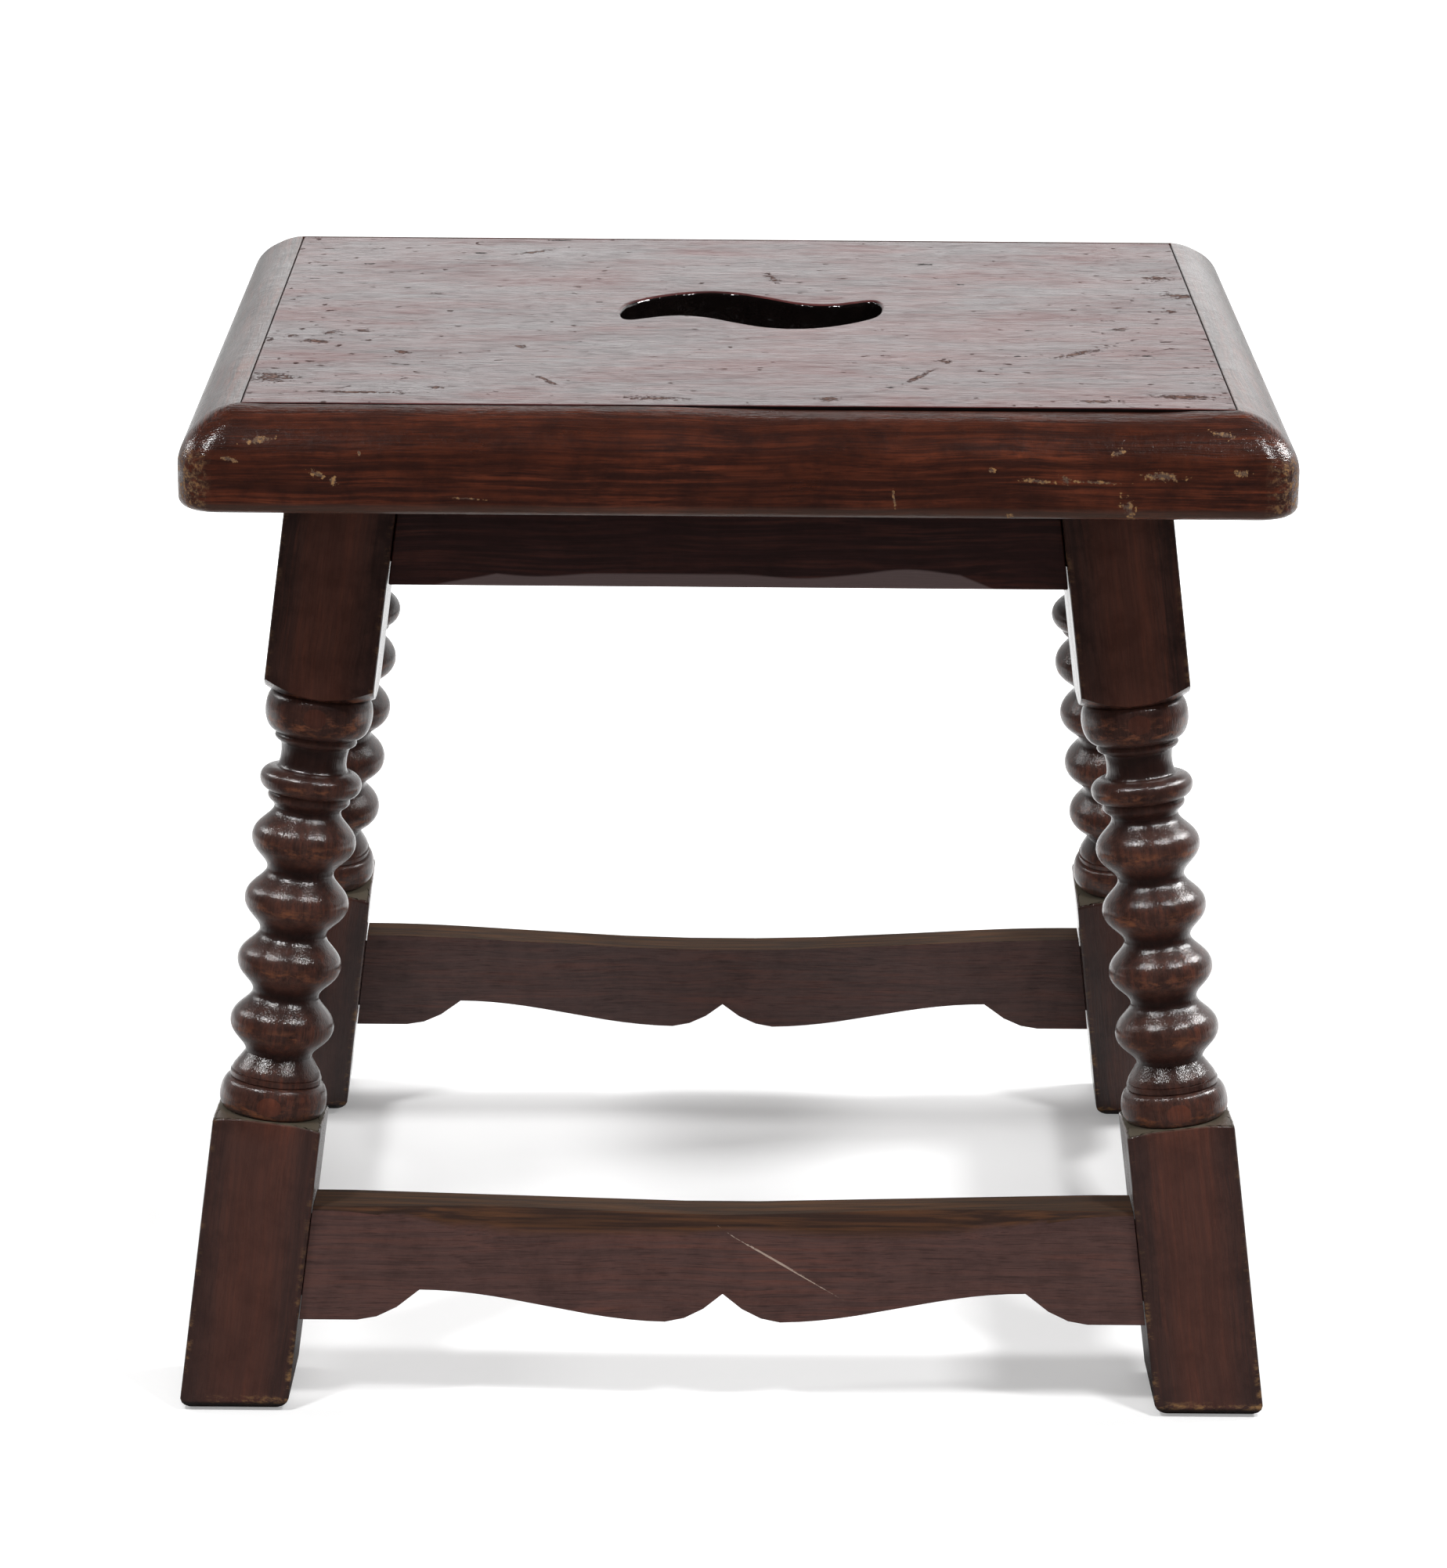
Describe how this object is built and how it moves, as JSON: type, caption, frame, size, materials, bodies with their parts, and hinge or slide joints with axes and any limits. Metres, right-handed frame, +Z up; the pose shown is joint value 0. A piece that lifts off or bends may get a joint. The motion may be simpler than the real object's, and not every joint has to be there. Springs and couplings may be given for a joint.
{
  "type": "joined stool",
  "caption": "Rectangular wooden stool with a serpentine hand hole, splayed bobbin-turned legs, plain aprons and shaped low stretchers.",
  "frame": {"origin": "centre of the outline of the feet, on the floor", "axes": "+X to the right along the seat's length, +Y to the back, +Z up; the front in the picture faces -Y"},
  "size_m": [0.4432, 0.3612, 0.417],
  "materials": {
    "board": "dark stained hardwood, worn gloss varnish",
    "edge": "dark stained hardwood, gloss varnish",
    "leg": "dark stained hardwood, gloss varnish",
    "rail": "dark stained hardwood, gloss varnish",
    "stretcher": "dark stained hardwood, worn gloss varnish",
    "block": "raw softwood",
    "screw": "dull steel"
  },
  "bodies": {
    "root": {"seat_board": "board", "seat_edge_front": "edge", "seat_edge_back": "edge", "seat_edge_left": "edge", "seat_edge_right": "edge", "leg_front_left": "leg", "leg_front_right": "leg", "leg_back_left": "leg", "leg_back_right": "leg", "apron_front": "rail", "apron_back": "rail", "apron_left": "rail", "apron_right": "rail", "stretcher_front": "stretcher", "stretcher_back": "stretcher", "stretcher_left": "stretcher", "stretcher_right": "stretcher", "corner_block_front_left": "block", "corner_block_front_right": "block", "corner_block_back_left": "block", "corner_block_back_right": "block", "seat_screw_front_left": "screw", "seat_screw_front_right": "screw", "seat_screw_back_left": "screw", "seat_screw_back_right": "screw"}
  },
  "joints": []
}
